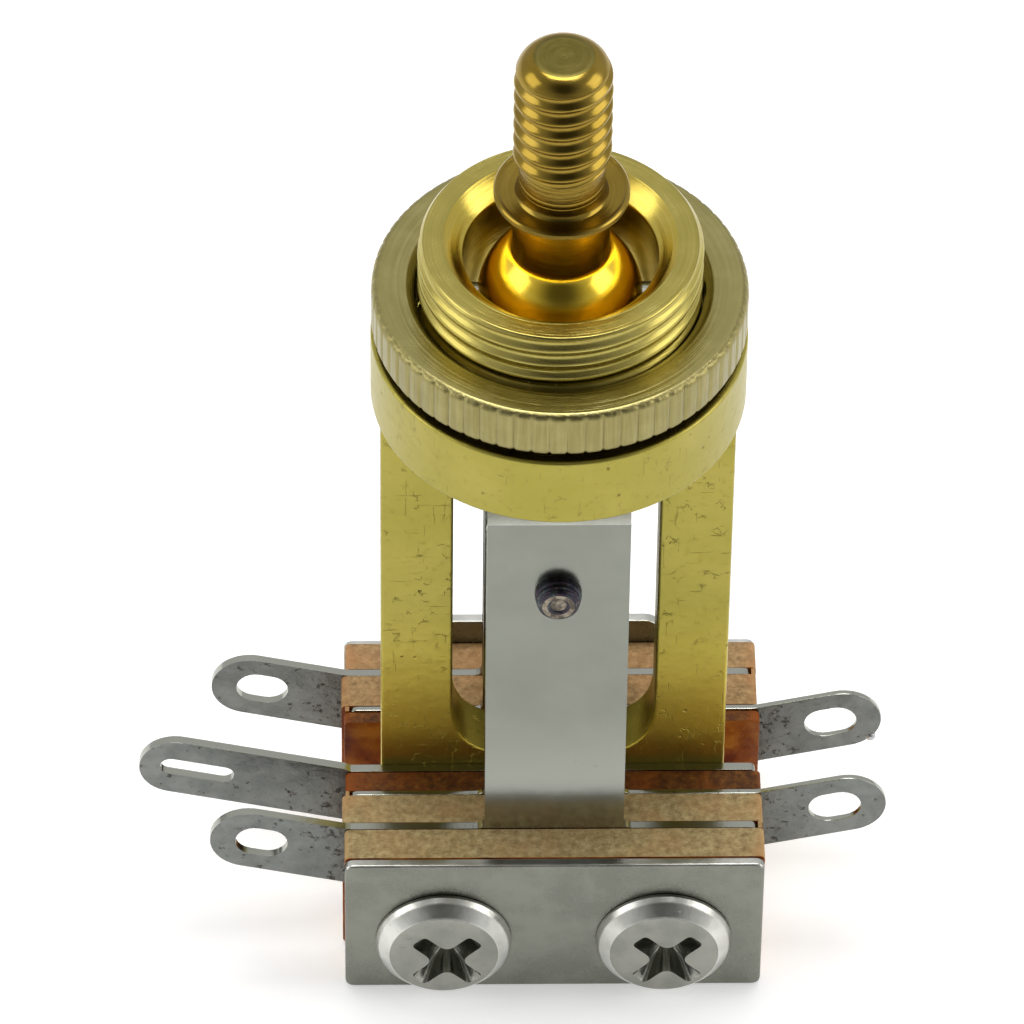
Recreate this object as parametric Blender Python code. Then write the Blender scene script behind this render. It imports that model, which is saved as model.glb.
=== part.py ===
"""Three-way lever switch with an open forged frame and a stack of leaf springs.

Metres, +Z up. The origin is the bushing's axis at the panel seat, the collar's top face.
+X runs along the row of stack screws, and -Y is the side of the screw heads.
"""

from math import asin, cos, pi, radians, sin, sqrt

import bmesh
import bpy
from mathutils import Matrix

MM = 0.001

# Bushing and collar, one forging with the frame plate
BUSHING_RADIUS = 5.95 * MM
BUSHING_TOP = 5.18 * MM
BUSHING_PITCH = 0.794 * MM
BUSHING_THREAD_DEPTH = 0.42 * MM
BORE_RADIUS = 4.05 * MM
BORE_MOUTH_RADIUS = 4.78 * MM
BORE_MOUTH_DEPTH = 0.75 * MM
COLLAR_RADIUS = 7.9 * MM
COLLAR_DEPTH = 3.55 * MM

# Frame plate with its window
PLATE_HALF_WIDTH = 7.5 * MM
PLATE_THICKNESS = 2.5 * MM
WINDOW_HALF_WIDTH = 4.4 * MM
WINDOW_CORNER = 3.0 * MM
WINDOW_SILL = 0.55 * MM           # height of the window's lower edge over the stack's top

# Stack of insulators, terminals and clamp plates
STACK_HALF_WIDTH = 9.1 * MM
STACK_TOP = -25.8 * MM
STACK_HEIGHT = 7.9 * MM
STACK_CORNER = 0.45 * MM
CLAMP_THICKNESS = 0.5 * MM
GROUND_THICKNESS = 0.4 * MM
OUTER_LEAF = 0.36 * MM
INNER_LEAF = 0.26 * MM
FRONT_OUTER_INSULATOR = 1.66 * MM
FRONT_MIDDLE_INSULATOR = 1.58 * MM
FRONT_INNER_INSULATOR = 1.09 * MM
REAR_INNER_INSULATOR = 0.63 * MM
REAR_MIDDLE_INSULATOR = 1.78 * MM
REAR_OUTER_INSULATOR = 1.55 * MM
REAR_CLAMP_RISE = 1.35 * MM
REAR_CLAMP_RISE_HALF_WIDTH = 5.0 * MM
LAYER_GAP = 0.02 * MM             # between faces that are clamped together
SLIDE_GAP = 0.08 * MM             # between parts that turn or slip in each other

# Lugs
LUG_TILT = radians(14)
LUG_HALF_WIDTH = 1.7 * MM
LUG_ROOT_DROP = 1.72 * MM         # from the stack's top down to the lug's centre line
LEFT_LUG_REACH = 4.15 * MM        # from the stack's side to the centre of the lug's tip
RIGHT_LUG_REACH = 3.75 * MM
EYELET_HALF_LENGTH = 1.15 * MM
EYELET_HALF_WIDTH = 0.85 * MM
EYELET_SETBACK = 0.55 * MM
GROUND_LUG_REACH = 7.35 * MM
GROUND_LUG_HALF_WIDTH = 1.6 * MM
GROUND_ROOT_DROP = 1.5 * MM
GROUND_SLOT_HALF_LENGTH = 1.65 * MM
GROUND_SLOT_HALF_WIDTH = 0.48 * MM
GROUND_SLOT_SETBACK = 0.95 * MM
STRIP_SETBACK = 0.25 * MM         # how far a strip's plain end stops short of the stack's side

# Leaf blades
BLADE_HALF_WIDTH = 3.02 * MM
BLADE_FOOT_GAP = 0.12 * MM
OUTER_BLADE_TOP = -6.45 * MM
INNER_BLADE_TOP = -8.7 * MM
CONTACT_HEIGHT = -10.87 * MM
CONTACT_RADIUS = 1.0 * MM
CONTACT_TAIL = 0.77 * MM
CONTACT_TAIL_TAPER = 0.2 * MM
CONTACT_AIR_GAP = 0.3 * MM

# Stack screws
SCREW_SPACING = 9.6 * MM
SCREW_DROP = 4.8 * MM             # from the stack's top down to the screws
SCREW_RADIUS = 1.4 * MM
SCREW_HEAD_RADIUS = 2.97 * MM
SCREW_HEAD_HEIGHT = 0.95 * MM
SCREW_FACE_RADIUS = 2.2 * MM
SCREW_TAIL = 0.6 * MM
RECESS_HALF_SPAN = 1.5 * MM
RECESS_HALF_SLOT = 0.36 * MM
RECESS_DEPTH = 0.7 * MM
SLEEVE_WALL = 0.35 * MM

# Lever
BALL_RADIUS = 3.48 * MM
BALL_HEIGHT = 1.9 * MM
STEM_RADIUS = 2.02 * MM
FLANGE_RADIUS = 2.82 * MM
FLANGE_BOTTOM = 7.88 * MM
FLANGE_THICKNESS = 0.36 * MM
NECK_RADIUS = 1.79 * MM
THREAD_BOTTOM = 9.73 * MM
LEVER_THREAD_RADIUS = 2.04 * MM
LEVER_THREAD_DEPTH = 0.24 * MM
LEVER_PITCH = 0.794 * MM
LEVER_TOP = 15.7 * MM
LEVER_TOP_ROUND = 0.85 * MM
TAIL_RADIUS = 1.45 * MM
TAIL_BOTTOM = -7.6 * MM
ACTUATOR_RADIUS = 2.3 * MM
ACTUATOR_TOP = -4.7 * MM
ACTUATOR_BOTTOM = -8.0 * MM
ACTUATOR_ROUND = 0.4 * MM
PIVOT_PIN_RADIUS = 0.6 * MM
PIVOT_PIN_HALF_LENGTH = 5.3 * MM

# Knurled nut
NUT_RADIUS = 7.86 * MM
NUT_BOTTOM = 0.37 * MM
NUT_TOP = 2.68 * MM
NUT_CHAMFER = 0.25 * MM
NUT_MOUTH_WIDTH = 0.37 * MM       # from the nut's hole out to the edge of its countersink

ROUND_STEPS = 64
SMALL_STEPS = 32
TINY_STEPS = 24

BRASS = ("forged_brass", (0.55, 0.46, 0.13), 0.36, 1.0)
TURNED_BRASS = ("turned_brass", (0.72, 0.5, 0.14), 0.24, 1.0)
NICKEL_SILVER = ("nickel_silver", (0.62, 0.62, 0.6), 0.22, 1.0)
TINNED = ("tinned_lug", (0.42, 0.43, 0.44), 0.42, 1.0)
PHENOLIC = ("phenolic", (0.45, 0.26, 0.12), 0.5, 0.0)
NICKEL_STEEL = ("nickel_steel", (0.6, 0.59, 0.56), 0.3, 1.0)
CONTACT_ALLOY = ("contact_alloy", (0.35, 0.28, 0.27), 0.35, 1.0)
BLACK_NYLON = ("actuator_nylon", (0.06, 0.055, 0.05), 0.45, 0.0)


def material(kind):
    name, colour, roughness, metallic = kind
    found = bpy.data.materials.get(name)
    if found:
        return found
    made = bpy.data.materials.new(name)
    made.use_nodes = True
    shader = made.node_tree.nodes["Principled BSDF"]
    shader.inputs["Base Color"].default_value = (*colour, 1.0)
    shader.inputs["Roughness"].default_value = roughness
    shader.inputs["Metallic"].default_value = metallic
    return made


def place(name, bm, kind, origin=(0, 0, 0), turn=(0, 0, 0)):
    """Write a bmesh to a new object, smooth where its faces meet at a shallow angle."""
    bmesh.ops.recalc_face_normals(bm, faces=bm.faces[:])
    mesh = bpy.data.meshes.new(name)
    bm.to_mesh(mesh)
    bm.free()
    mesh.shade_smooth()
    mesh.set_sharp_from_angle(angle=radians(35))
    mesh.materials.append(material(kind))
    made = bpy.data.objects.new(name, mesh)
    made.location = origin
    made.rotation_euler = turn
    bpy.context.scene.collection.objects.link(made)
    return made


def turned(profile, steps):
    """Spin (radius, height) points about Z. A profile off the axis is closed into a ring."""
    bm = bmesh.new()
    points = [bm.verts.new((radius, 0, height)) for radius, height in profile]
    edges = [bm.edges.new(pair) for pair in zip(points, points[1:])]
    if profile[0][0] > 0:
        edges.append(bm.edges.new((points[-1], points[0])))
    bmesh.ops.spin(bm, geom=points + edges, cent=(0, 0, 0), axis=(0, 0, 1),
                   angle=2 * pi, steps=steps, use_duplicate=False)
    bmesh.ops.remove_doubles(bm, verts=bm.verts[:], dist=1e-7)
    return bm


def slab(outline, front, back):
    """Extrude an (x, z) outline along Y from its front to its back."""
    bm = bmesh.new()
    face = bm.faces.new([bm.verts.new((x, front, z)) for x, z in outline])
    grown = bmesh.ops.extrude_face_region(bm, geom=[face])
    moved = [item for item in grown["geom"] if isinstance(item, bmesh.types.BMVert)]
    bmesh.ops.translate(bm, verts=moved, vec=(0, back - front, 0))
    return bm


def arc(centre, radius, start, end, steps):
    """Points of an arc in degrees, both ends included."""
    angles = [radians(start + (end - start) * step / steps) for step in range(steps + 1)]
    return [(centre[0] + radius * cos(a), centre[1] + radius * sin(a)) for a in angles]


def rounded_box(left, right, bottom, top, corner, steps=4):
    """Outline of a rectangle with four round corners, counter-clockwise."""
    return (arc((right - corner, bottom + corner), corner, -90, 0, steps)
            + arc((right - corner, top - corner), corner, 0, 90, steps)
            + arc((left + corner, top - corner), corner, 90, 180, steps)
            + arc((left + corner, bottom + corner), corner, 180, 270, steps))


def ridges(bottom, top, pitch, crest, depth):
    """Ring ridges that stand for a screw thread, from the bottom up."""
    count = int((top - bottom) / pitch)
    points = []
    for turn in range(count):
        low = bottom + turn * pitch
        points += [(crest - depth, low), (crest, low + pitch / 2)]
    return points + [(crest - depth, bottom + count * pitch)]


def cutter(name, bm, origin=(0, 0, 0), turn=(0, 0, 0)):
    made = place(name, bm, NICKEL_STEEL, origin, turn)
    made.hide_render = True
    made.display_type = "WIRE"
    return made


def combine(target, tool, operation):
    step = target.modifiers.new(f"{operation.lower()}_{tool.name}", "BOOLEAN")
    step.operation = operation
    step.solver = "EXACT"
    step.object = tool


def rod(radius, half_length, steps):
    return turned([(0, half_length), (radius, half_length),
                   (radius, -half_length), (0, -half_length)], steps)


def stack_layers():
    """Front and back of every clamped layer along Y, worked out from the frame plate."""
    front = [("ground_lug", GROUND_THICKNESS), ("front_inner_insulator", FRONT_INNER_INSULATOR),
             ("front_inner_terminal", INNER_LEAF), ("front_middle_insulator", FRONT_MIDDLE_INSULATOR),
             ("front_outer_terminal", OUTER_LEAF), ("front_outer_insulator", FRONT_OUTER_INSULATOR),
             ("front_clamp_plate", CLAMP_THICKNESS)]
    rear = [("rear_inner_insulator", REAR_INNER_INSULATOR), ("rear_inner_terminal", INNER_LEAF),
            ("rear_middle_insulator", REAR_MIDDLE_INSULATOR), ("rear_outer_terminal", OUTER_LEAF),
            ("rear_outer_insulator", REAR_OUTER_INSULATOR), ("rear_clamp_plate", CLAMP_THICKNESS)]
    places = {"frame": (-PLATE_THICKNESS / 2, PLATE_THICKNESS / 2)}
    for layers, side in ((front, -1), (rear, 1)):
        inner = PLATE_THICKNESS / 2
        for name, thickness in layers:
            inner += LAYER_GAP
            ends = (side * inner, side * (inner + thickness))
            places[name] = (min(ends), max(ends))
            inner += thickness
    return places


LAYERS = stack_layers()
STACK_BOTTOM = STACK_TOP - STACK_HEIGHT
SCREW_HEIGHT = STACK_TOP - SCREW_DROP
SLEEVE_BORE = SCREW_RADIUS + SLIDE_GAP
SLEEVE_RADIUS = SLEEVE_BORE + SLEEVE_WALL
LAYER_HOLE = SLEEVE_RADIUS + SLIDE_GAP
PIN_HOLE = PIVOT_PIN_RADIUS + SLIDE_GAP


def screw_hole_cutter(name, radius):
    """Two parallel rods along Y, one for each screw."""
    reach = 12 * MM
    bm = bmesh.new()
    for side in (-1, 1):
        spot = Matrix.Translation((side * SCREW_SPACING / 2, 0, SCREW_HEIGHT))
        bmesh.ops.create_cone(bm, cap_ends=True, segments=TINY_STEPS, radius1=radius, radius2=radius,
                              depth=2 * reach, matrix=spot @ Matrix.Rotation(pi / 2, 4, "X"))
    return cutter(name, bm)


def build_frame(layer_holes):
    thread = ridges(NUT_BOTTOM, BUSHING_TOP - 0.2 * MM, BUSHING_PITCH, BUSHING_RADIUS, BUSHING_THREAD_DEPTH)
    edge = 0.2 * MM
    outside = ([(0, -COLLAR_DEPTH), (COLLAR_RADIUS - edge, -COLLAR_DEPTH),
                (COLLAR_RADIUS, -COLLAR_DEPTH + edge), (COLLAR_RADIUS, -edge), (COLLAR_RADIUS - edge, 0),
                (BUSHING_RADIUS - BUSHING_THREAD_DEPTH, 0)] + thread
               + [(BUSHING_RADIUS - BUSHING_THREAD_DEPTH, BUSHING_TOP), (0, BUSHING_TOP)])
    frame = place("frame", turned(outside[::-1], ROUND_STEPS), BRASS)

    foot = STACK_BOTTOM + STACK_CORNER
    plate_outline = rounded_box(-PLATE_HALF_WIDTH, PLATE_HALF_WIDTH, foot, -COLLAR_DEPTH / 2, STACK_CORNER)
    combine(frame, cutter("plate_blank", slab(plate_outline, *LAYERS["frame"])), "UNION")

    sill = STACK_TOP + WINDOW_SILL
    side = WINDOW_HALF_WIDTH
    corner = WINDOW_CORNER
    window = (arc((side - corner, sill + corner), corner, -90, 0, 8)
              + [(side, -COLLAR_DEPTH), (-side, -COLLAR_DEPTH)]
              + arc((-side + corner, sill + corner), corner, 180, 270, 8))
    combine(frame, cutter("window_tool", slab(window, -PLATE_THICKNESS, PLATE_THICKNESS)), "DIFFERENCE")

    above = 1 * MM
    slope = (BORE_MOUTH_RADIUS - BORE_RADIUS) / BORE_MOUTH_DEPTH
    bore = [(0, BUSHING_TOP + above), (BORE_MOUTH_RADIUS + slope * above, BUSHING_TOP + above),
            (BORE_RADIUS, BUSHING_TOP - BORE_MOUTH_DEPTH), (BORE_RADIUS, -COLLAR_DEPTH - above),
            (0, -COLLAR_DEPTH - above)]
    combine(frame, cutter("bore_tool", turned(bore, ROUND_STEPS)), "DIFFERENCE")

    pin_tool = cutter("pin_tool", rod(PIN_HOLE, BUSHING_RADIUS + above, TINY_STEPS),
                      (0, 0, BALL_HEIGHT), (0, pi / 2, 0))
    combine(frame, pin_tool, "DIFFERENCE")
    combine(frame, layer_holes, "DIFFERENCE")
    place("pivot_pin", rod(PIVOT_PIN_RADIUS, PIVOT_PIN_HALF_LENGTH, TINY_STEPS), NICKEL_STEEL,
          (0, 0, BALL_HEIGHT), (0, pi / 2, 0))
    return pin_tool


def build_nut():
    hole = BUSHING_RADIUS + SLIDE_GAP
    profile = [(hole, NUT_TOP - NUT_MOUTH_WIDTH), (hole + NUT_MOUTH_WIDTH, NUT_TOP),
               (NUT_RADIUS - NUT_CHAMFER, NUT_TOP),
               (NUT_RADIUS, NUT_TOP - NUT_CHAMFER), (NUT_RADIUS, NUT_BOTTOM + NUT_CHAMFER),
               (NUT_RADIUS - NUT_CHAMFER, NUT_BOTTOM), (hole, NUT_BOTTOM)]
    place("knurled_nut", turned(profile, ROUND_STEPS), BRASS)


def build_lever(pin_tool):
    """Turned lever with its ball. Heights are taken from the ball's centre, its pivot."""
    def level(height):
        return height - BALL_HEIGHT

    stem_joint = sqrt(BALL_RADIUS ** 2 - STEM_RADIUS ** 2)
    tail_joint = sqrt(BALL_RADIUS ** 2 - TAIL_RADIUS ** 2)
    top_end = 90 - 180 / pi * asin(stem_joint / BALL_RADIUS)
    low_end = 180 - 180 / pi * asin(TAIL_RADIUS / BALL_RADIUS)
    ball = [(BALL_RADIUS * sin(radians(a)), BALL_RADIUS * cos(radians(a)))
            for a in [top_end + (low_end - top_end) * step / 14 for step in range(15)]]
    rim = FLANGE_BOTTOM + FLANGE_THICKNESS
    shoulder = LEVER_TOP - LEVER_TOP_ROUND
    crown = arc((LEVER_THREAD_RADIUS - LEVER_TOP_ROUND, level(shoulder)), LEVER_TOP_ROUND, 90, 0, 5)
    thread = ridges(level(THREAD_BOTTOM), level(shoulder), LEVER_PITCH, LEVER_THREAD_RADIUS,
                    LEVER_THREAD_DEPTH)
    profile = ([(0, level(LEVER_TOP))] + crown + thread[::-1]
               + [(NECK_RADIUS, level(THREAD_BOTTOM) - 0.01 * MM), (NECK_RADIUS, level(rim) - 0.1 * MM),
                  (FLANGE_RADIUS - 0.15 * MM, level(rim)), (FLANGE_RADIUS, level(rim) - 0.1 * MM),
                  (FLANGE_RADIUS, level(FLANGE_BOTTOM) + 0.1 * MM),
                  (FLANGE_RADIUS - 0.15 * MM, level(FLANGE_BOTTOM)), (STEM_RADIUS, level(FLANGE_BOTTOM))]
               + ball + [(TAIL_RADIUS, level(TAIL_BOTTOM)), (0, level(TAIL_BOTTOM))])
    lever = place("lever", turned(profile, SMALL_STEPS), TURNED_BRASS, (0, 0, BALL_HEIGHT))
    combine(lever, pin_tool, "DIFFERENCE")

    bore = TAIL_RADIUS + LAYER_GAP
    top, bottom = level(ACTUATOR_TOP), level(ACTUATOR_BOTTOM)
    floor = level(TAIL_BOTTOM) - LAYER_GAP
    outside = (arc((ACTUATOR_RADIUS - ACTUATOR_ROUND, top - ACTUATOR_ROUND), ACTUATOR_ROUND, 90, 0, 3)
               + arc((ACTUATOR_RADIUS - ACTUATOR_ROUND, bottom + ACTUATOR_ROUND), ACTUATOR_ROUND, 0, -90, 3))
    cup = [(0, floor), (bore, floor), (bore, top)] + outside + [(0, bottom)]
    place("lever_actuator", turned(cup, SMALL_STEPS), BLACK_NYLON, (0, 0, BALL_HEIGHT))


def build_insulators_and_clamps(layer_holes, tapped_holes):
    block = rounded_box(-STACK_HALF_WIDTH, STACK_HALF_WIDTH, STACK_BOTTOM, STACK_TOP, STACK_CORNER)
    for name, (front, back) in LAYERS.items():
        if name.endswith("insulator"):
            combine(place(name, slab(block, front, back), PHENOLIC), layer_holes, "DIFFERENCE")
    combine(place("front_clamp_plate", slab(block, *LAYERS["front_clamp_plate"]), NICKEL_STEEL),
            tapped_holes, "DIFFERENCE")

    rise = STACK_TOP + REAR_CLAMP_RISE
    half = REAR_CLAMP_RISE_HALF_WIDTH
    corner = REAR_CLAMP_RISE / 3
    tongue = ([(half + corner, STACK_TOP)] + arc((half - corner, rise - corner), corner, 0, 90, 4)
              + arc((-half + corner, rise - corner), corner, 90, 180, 4) + [(-half - corner, STACK_TOP)])
    quarter = len(block) // 4
    outline = block[:2 * quarter] + tongue + block[2 * quarter:]
    combine(place("rear_clamp_plate", slab(outline, *LAYERS["rear_clamp_plate"]), NICKEL_STEEL),
            tapped_holes, "DIFFERENCE")


def lug_outline(side, reach, half_width, root_drop):
    """Strip across the stack with a tilted round-ended lug, drawn for +X and mirrored for -X."""
    root = STACK_TOP - root_drop
    tip = (STACK_HALF_WIDTH + reach, root + reach * sin(LUG_TILT) / cos(LUG_TILT))
    spread = half_width / cos(LUG_TILT)
    end = -STACK_HALF_WIDTH + STRIP_SETBACK
    foot = STACK_BOTTOM + STACK_CORNER
    tilt = LUG_TILT * 180 / pi
    points = ([(end, foot), (STACK_HALF_WIDTH - STRIP_SETBACK, foot),
               (STACK_HALF_WIDTH - STRIP_SETBACK, root - spread), (STACK_HALF_WIDTH, root - spread)]
              + arc(tip, half_width, tilt - 90, tilt + 90, 12)
              + [(STACK_HALF_WIDTH, root + spread), (STACK_HALF_WIDTH - STRIP_SETBACK, STACK_TOP),
                 (end, STACK_TOP)])
    return [(side * x, z) for x, z in points], (side * tip[0], tip[1])


def slot_cutter(name, side, tip, setback, half_length, half_width, front, back):
    """Oval or slotted hole that runs along the tilted lug."""
    centre = (tip[0] - side * setback * cos(LUG_TILT), tip[1] - setback * sin(LUG_TILT))
    straight = half_length - half_width
    capsule = arc((straight, 0), half_width, -90, 90, 8) + arc((-straight, 0), half_width, 90, 270, 8)
    tilt = side * LUG_TILT
    outline = [(centre[0] + x * cos(tilt) - z * sin(tilt), centre[1] + x * sin(tilt) + z * cos(tilt))
               for x, z in capsule]
    return cutter(name, slab(outline, front - CLAMP_THICKNESS, back + CLAMP_THICKNESS))


def build_terminals(layer_holes):
    for name, side, reach in (("front_outer_terminal", -1, LEFT_LUG_REACH),
                              ("front_inner_terminal", 1, RIGHT_LUG_REACH),
                              ("rear_inner_terminal", 1, RIGHT_LUG_REACH),
                              ("rear_outer_terminal", -1, LEFT_LUG_REACH)):
        front, back = LAYERS[name]
        outline, tip = lug_outline(side, reach, LUG_HALF_WIDTH, LUG_ROOT_DROP)
        terminal = place(name, slab(outline, front, back), TINNED)
        eyelet = slot_cutter(name + "_eyelet", side, tip, EYELET_SETBACK, EYELET_HALF_LENGTH,
                             EYELET_HALF_WIDTH, front, back)
        combine(terminal, eyelet, "DIFFERENCE")
        combine(terminal, layer_holes, "DIFFERENCE")

    front, back = LAYERS["ground_lug"]
    outline, tip = lug_outline(-1, GROUND_LUG_REACH, GROUND_LUG_HALF_WIDTH, GROUND_ROOT_DROP)
    ground = place("ground_lug", slab(outline, front, back), TINNED)
    slot = slot_cutter("ground_slot", -1, tip, GROUND_SLOT_SETBACK, GROUND_SLOT_HALF_LENGTH,
                       GROUND_SLOT_HALF_WIDTH, front, back)
    combine(ground, slot, "DIFFERENCE")
    combine(ground, layer_holes, "DIFFERENCE")


def bent_blade(front, back, side, hook_reach):
    """Blade profile in (y, z) extruded along X, about its foot. An outer blade's tip turns inward."""
    thickness = back - front
    foot = BLADE_FOOT_GAP
    if hook_reach is None:
        top = INNER_BLADE_TOP - STACK_TOP
        outline = [(-thickness / 2, foot), (thickness / 2, foot),
                   (thickness / 2, top), (-thickness / 2, top)]
    else:
        top = OUTER_BLADE_TOP - STACK_TOP
        bend = 0.35 * MM
        outer_bend = bend + thickness
        centre = (thickness / 2 + bend, top - outer_bend)
        tip = hook_reach + thickness / 2
        outline = ([(-thickness / 2, foot), (thickness / 2, foot)]
                   + arc(centre, bend, 180, 90, 5) + [(tip, top - thickness), (tip, top)]
                   + arc(centre, outer_bend, 90, 180, 5))
    bm = bmesh.new()
    corners = [bm.verts.new((-BLADE_HALF_WIDTH, -side * y, z)) for y, z in outline]
    face = bm.faces.new(corners)
    grown = bmesh.ops.extrude_face_region(bm, geom=[face])
    moved = [item for item in grown["geom"] if isinstance(item, bmesh.types.BMVert)]
    bmesh.ops.translate(bm, verts=moved, vec=(2 * BLADE_HALF_WIDTH, 0, 0))
    return bm


def build_blades():
    for half, side in (("front", -1), ("rear", 1)):
        outer_front, outer_back = LAYERS[half + "_outer_terminal"]
        inner_front, inner_back = LAYERS[half + "_inner_terminal"]
        outer_middle = (outer_front + outer_back) / 2
        inner_middle = (inner_front + inner_back) / 2
        outer_face = abs(outer_middle) - OUTER_LEAF / 2
        inner_face = abs(inner_middle) + INNER_LEAF / 2
        hook = outer_face - ACTUATOR_RADIUS - SLIDE_GAP
        outer = place(half + "_outer_blade", bent_blade(outer_front, outer_back, side, hook),
                      NICKEL_SILVER, (0, outer_middle, STACK_TOP))
        inner = place(half + "_inner_blade", bent_blade(inner_front, inner_back, side, None),
                      NICKEL_SILVER, (0, inner_middle, STACK_TOP))

        button = (outer_face - inner_face - CONTACT_AIR_GAP) / 2 - LAYER_GAP
        shank = CONTACT_RADIUS / 2
        outward = -side * pi / 2
        hole_tool = cutter(half + "_contact_hole", rod(shank + LAYER_GAP, 2 * CONTACT_AIR_GAP, TINY_STEPS))
        for blade, leaf, middle, kind in ((outer, OUTER_LEAF, outer_middle, "outer"),
                                          (inner, INNER_LEAF, inner_middle, "inner")):
            spot = (0, middle, CONTACT_HEIGHT)
            turn = outward if kind == "outer" else -outward
            half_leaf = leaf / 2 + LAYER_GAP
            tail = CONTACT_TAIL if kind == "outer" else CONTACT_TAIL / 3
            waist = CONTACT_RADIUS * 0.9
            profile = [(0, half_leaf + tail), (CONTACT_RADIUS - CONTACT_TAIL_TAPER, half_leaf + tail),
                       (CONTACT_RADIUS, half_leaf), (shank, half_leaf), (shank, -half_leaf),
                       (waist, -half_leaf), (waist, -half_leaf - button * 0.7),
                       (waist * 0.8, -half_leaf - button), (0, -half_leaf - button)]
            place(f"{half}_{kind}_contact", turned(profile, TINY_STEPS), CONTACT_ALLOY, spot, (turn, 0, 0))
            tool = hole_tool.copy()
            tool.name = f"{half}_{kind}_contact_tool"
            tool.location = spot
            tool.rotation_euler = (pi / 2, 0, 0)
            bpy.context.scene.collection.objects.link(tool)
            combine(blade, tool, "DIFFERENCE")
        bpy.data.objects.remove(hole_tool)


def recess_slot(turn):
    """One tapered arm pair of the cross recess, narrower at the bottom."""
    bm = bmesh.new()
    blank = bmesh.ops.create_cube(bm, size=1.0)["verts"]
    for vert in blank:
        shrink = 1.0 if vert.co.z > 0 else 0.6
        vert.co.x *= 2 * RECESS_HALF_SPAN * shrink
        vert.co.y *= 2 * RECESS_HALF_SLOT * shrink
        vert.co.z *= 2 * RECESS_DEPTH
    bmesh.ops.rotate(bm, verts=blank, cent=(0, 0, 0), matrix=Matrix.Rotation(turn, 3, "Z"))
    return bm


def build_screws():
    clamp_front = LAYERS["front_clamp_plate"][0]
    clamp_back = LAYERS["rear_clamp_plate"][1]
    sleeve_front = LAYERS["front_clamp_plate"][1] + LAYER_GAP
    sleeve_back = LAYERS["rear_clamp_plate"][0] - LAYER_GAP
    head = SCREW_HEAD_HEIGHT
    step = SCREW_HEAD_RADIUS - SCREW_FACE_RADIUS
    reach = clamp_back - clamp_front + SCREW_TAIL
    profile = ([(0, LAYER_GAP + head), (SCREW_FACE_RADIUS, LAYER_GAP + head)]
               + [(SCREW_FACE_RADIUS + step * sin(a), LAYER_GAP + head * (0.4 + 0.6 * cos(a)))
                  for a in (radians(30), radians(60), radians(90))]
               + [(SCREW_HEAD_RADIUS, LAYER_GAP), (SCREW_RADIUS, LAYER_GAP),
                  (SCREW_RADIUS, -reach + 0.3 * MM), (SCREW_RADIUS - 0.3 * MM, -reach), (0, -reach)])
    tube = [(SLEEVE_BORE, 0), (SLEEVE_RADIUS, 0),
            (SLEEVE_RADIUS, sleeve_front - sleeve_back), (SLEEVE_BORE, sleeve_front - sleeve_back)]
    for word, side in (("left", -1), ("right", 1)):
        x = side * SCREW_SPACING / 2
        screw = place(word + "_stack_screw", turned(profile, TINY_STEPS), NICKEL_STEEL,
                      (x, clamp_front, SCREW_HEIGHT), (pi / 2, 0, 0))
        for turn in (pi / 4, -pi / 4):
            recess = cutter(word + "_recess", recess_slot(turn),
                            (x, clamp_front - LAYER_GAP - head, SCREW_HEIGHT), (pi / 2, 0, 0))
            combine(screw, recess, "DIFFERENCE")
        place(word + "_screw_sleeve", turned(tube[::-1], TINY_STEPS), PHENOLIC,
              (x, sleeve_front, SCREW_HEIGHT), (pi / 2, 0, 0))


def main():
    for old in list(bpy.data.objects):
        bpy.data.objects.remove(old)
    layer_holes = screw_hole_cutter("layer_hole_tool", LAYER_HOLE)
    tapped_holes = screw_hole_cutter("tapped_hole_tool", SCREW_RADIUS + SLIDE_GAP)
    pin_tool = build_frame(layer_holes)
    build_nut()
    build_lever(pin_tool)
    build_insulators_and_clamps(layer_holes, tapped_holes)
    build_terminals(layer_holes)
    build_blades()
    build_screws()


main()
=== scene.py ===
# Open-frame lever switch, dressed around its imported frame.
# Pieces are drawn in millimetres and shrunk to metres.
import math

import bmesh
import bpy
from mathutils import Matrix, Vector


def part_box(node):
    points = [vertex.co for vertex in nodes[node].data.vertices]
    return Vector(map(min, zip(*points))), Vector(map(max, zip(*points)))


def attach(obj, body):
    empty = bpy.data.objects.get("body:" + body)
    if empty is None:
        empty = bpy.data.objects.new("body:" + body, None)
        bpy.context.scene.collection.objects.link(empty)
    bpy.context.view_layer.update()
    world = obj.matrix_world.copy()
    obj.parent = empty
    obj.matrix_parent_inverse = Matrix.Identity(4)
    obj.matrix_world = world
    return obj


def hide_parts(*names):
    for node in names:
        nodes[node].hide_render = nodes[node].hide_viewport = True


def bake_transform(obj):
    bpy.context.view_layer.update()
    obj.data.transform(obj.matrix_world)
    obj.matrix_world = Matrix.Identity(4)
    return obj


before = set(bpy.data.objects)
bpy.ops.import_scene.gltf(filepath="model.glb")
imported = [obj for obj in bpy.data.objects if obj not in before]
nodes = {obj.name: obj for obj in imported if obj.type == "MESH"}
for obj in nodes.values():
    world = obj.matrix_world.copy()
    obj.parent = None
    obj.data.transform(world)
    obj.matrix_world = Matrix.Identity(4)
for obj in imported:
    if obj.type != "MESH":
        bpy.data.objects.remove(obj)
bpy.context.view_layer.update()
shrink = 0.001
print("stage: frame loaded")


def boxOf(node):  # a frame node's two corners, in millimetres
    low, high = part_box(node)
    return low / shrink, high / shrink


def deselectAll():
    if bpy.context.object and bpy.context.object.mode == "EDIT":
        bpy.ops.object.mode_set(mode="OBJECT")
    bpy.ops.object.select_all(action="DESELECT")


def takeUp(made):  # makes a piece the one that operators act on
    deselectAll()
    made.select_set(True)
    bpy.context.view_layer.objects.active = made
    return made


# the camera and the studio

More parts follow.
